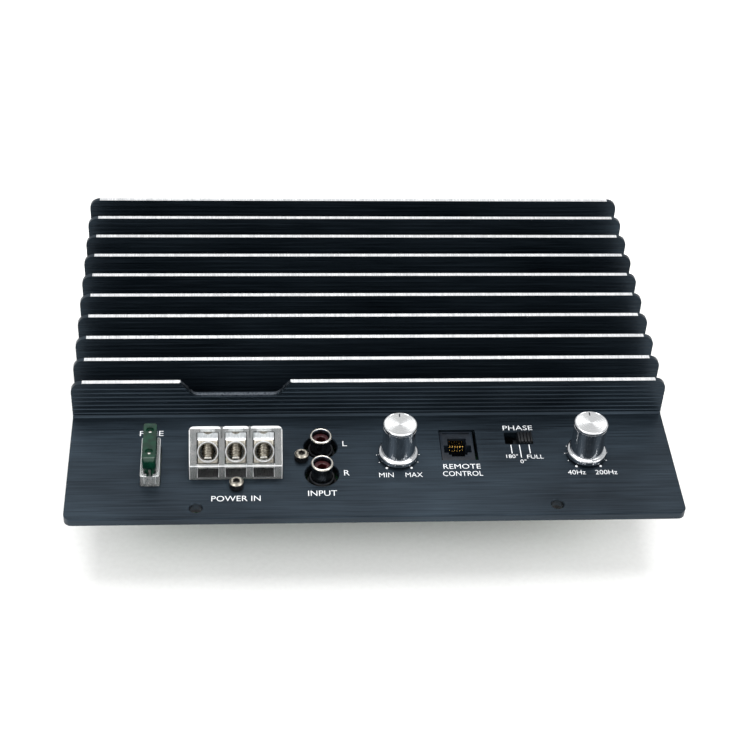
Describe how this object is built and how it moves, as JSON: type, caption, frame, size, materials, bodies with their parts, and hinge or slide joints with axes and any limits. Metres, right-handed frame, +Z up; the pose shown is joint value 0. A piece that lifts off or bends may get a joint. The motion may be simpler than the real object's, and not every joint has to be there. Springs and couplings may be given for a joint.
{
  "type": "car amplifier",
  "caption": "Car subwoofer amplifier panel: finned heatsink plate with clear power terminal, blade fuse, RCA and remote sockets, knobs and slide switch over a board",
  "frame": {"origin": "centre of the footprint, level with the undersides of the tallest components under the board", "axes": "+X to the right along the fins, +Y from the control strip towards the rear fins, +Z up out of the panel"},
  "size_m": [0.235, 0.1904, 0.0569],
  "materials": {
    "anodised_aluminium": "brushed, slate anodised",
    "foam": "matt closed-cell foam",
    "circuit_board": "solder mask",
    "clear_plastic": "clear polycarbonate",
    "green_plastic": "translucent moulded",
    "tin_plate": "tin plated",
    "grey_plastic": "moulded",
    "gold_plate": "gold plated",
    "black_plastic": "moulded",
    "steel": "zinc plated",
    "satin_chrome": "satin chrome",
    "copper_wire": "enamelled copper",
    "silicone": "matt",
    "white_plastic": "moulded",
    "black_steel": "black oxide",
    "capacitor_sleeve": "shrink sleeve",
    "nickel_plate": "nickel plated",
    "transistor_epoxy": "moulded epoxy",
    "red_plastic": "moulded"
  },
  "bodies": {
    "amplifier_body": {"heatsink": "anodised_aluminium", "gasket": "foam", "circuit_board": "circuit_board", "terminal_housing": "clear_plastic", "fuse_holder": "clear_plastic", "remote_jack": "grey_plastic", "jack_contacts": "gold_plate", "phase_switch": "black_plastic", "gain_pot": "steel", "filter_pot": "steel", "power_transformer": "copper_wire", "output_inductor": "copper_wire", "thermal_pad": "silicone", "clamp_bar": "steel", "speaker_connector": "white_plastic", "standoff_1": "steel", "board_screw_1": "steel", "standoff_2": "steel", "board_screw_2": "steel", "standoff_3": "steel", "board_screw_3": "steel", "standoff_4": "steel", "board_screw_4": "steel", "standoff_5": "steel", "board_screw_5": "steel", "panel_screw_1": "black_steel", "clamp_bar_screw_1": "steel", "filter_capacitor_1": "capacitor_sleeve", "fuse_clip_1": "tin_plate", "panel_screw_2": "black_steel", "clamp_bar_screw_2": "steel", "filter_capacitor_2": "capacitor_sleeve", "fuse_clip_2": "tin_plate", "wire_cage_1": "nickel_plate", "wire_cage_2": "nickel_plate", "wire_cage_3": "nickel_plate", "power_transistor_1": "transistor_epoxy", "power_transistor_2": "transistor_epoxy", "power_transistor_3": "transistor_epoxy", "power_transistor_4": "transistor_epoxy", "rca_base_left": "black_plastic", "rca_sleeve_left": "nickel_plate", "rca_insulator_left": "red_plastic", "rca_base_right": "black_plastic", "rca_sleeve_right": "nickel_plate", "rca_insulator_right": "red_plastic"},
    "gain_knob": {"gain_knob": "satin_chrome", "gain_shaft": "steel"},
    "filter_knob": {"filter_knob": "satin_chrome", "filter_shaft": "steel"},
    "phase_slider": {"phase_slider": "black_plastic"},
    "fuse": {"fuse_body": "green_plastic", "fuse_element": "tin_plate"},
    "pressure_pad_1": {"pressure_pad_1": "steel"},
    "clamp_screw_1": {"clamp_screw_1": "steel"},
    "pressure_pad_2": {"pressure_pad_2": "steel"},
    "clamp_screw_2": {"clamp_screw_2": "steel"},
    "pressure_pad_3": {"pressure_pad_3": "steel"},
    "clamp_screw_3": {"clamp_screw_3": "steel"}
  },
  "joints": [
    {"name": "gain_knob_turn", "type": "hinge", "parent": "amplifier_body", "child": "gain_knob", "pos_m": [0.0094, -0.0627, 0.0494], "axis": [0, 0, 1], "range_deg": [-145, 145]},
    {"name": "filter_knob_turn", "type": "hinge", "parent": "amplifier_body", "child": "filter_knob", "pos_m": [0.0835, -0.0627, 0.0494], "axis": [0, 0, 1], "range_deg": [-145, 145]},
    {"name": "phase_slide", "type": "slide", "parent": "amplifier_body", "child": "phase_slider", "axis": [1, 0, 0], "range_m": [-0.005, 0]},
    {"name": "fuse_pull", "type": "slide", "parent": "amplifier_body", "child": "fuse", "axis": [0, 0, 1], "range_m": [0, 0.016]},
    {"name": "pressure_pad_1_travel", "type": "slide", "parent": "amplifier_body", "child": "pressure_pad_1", "axis": [0, 0.7071, 0.7071], "range_m": [0, 0.004]},
    {"name": "clamp_screw_1_turn", "type": "hinge", "parent": "pressure_pad_1", "child": "clamp_screw_1", "pos_m": [-0.0641, -0.06814, 0.04497], "axis": [0, 0.7071, 0.7071], "range_deg": [0, 1801]},
    {"name": "pressure_pad_2_travel", "type": "slide", "parent": "amplifier_body", "child": "pressure_pad_2", "axis": [0, 0.7071, 0.7071], "range_m": [0, 0.004]},
    {"name": "clamp_screw_2_turn", "type": "hinge", "parent": "pressure_pad_2", "child": "clamp_screw_2", "pos_m": [-0.0535, -0.06814, 0.04497], "axis": [0, 0.7071, 0.7071], "range_deg": [0, 1801]},
    {"name": "pressure_pad_3_travel", "type": "slide", "parent": "amplifier_body", "child": "pressure_pad_3", "axis": [0, 0.7071, 0.7071], "range_m": [0, 0.004]},
    {"name": "clamp_screw_3_turn", "type": "hinge", "parent": "pressure_pad_3", "child": "clamp_screw_3", "pos_m": [-0.0429, -0.06814, 0.04497], "axis": [0, 0.7071, 0.7071], "range_deg": [0, 1801]}
  ],
  "couplings": [
    {"joint": "clamp_screw_1_turn", "follows": "pressure_pad_1_travel", "rad_per_m": 7854},
    {"joint": "clamp_screw_2_turn", "follows": "pressure_pad_2_travel", "rad_per_m": 7854},
    {"joint": "clamp_screw_3_turn", "follows": "pressure_pad_3_travel", "rad_per_m": 7854}
  ]
}
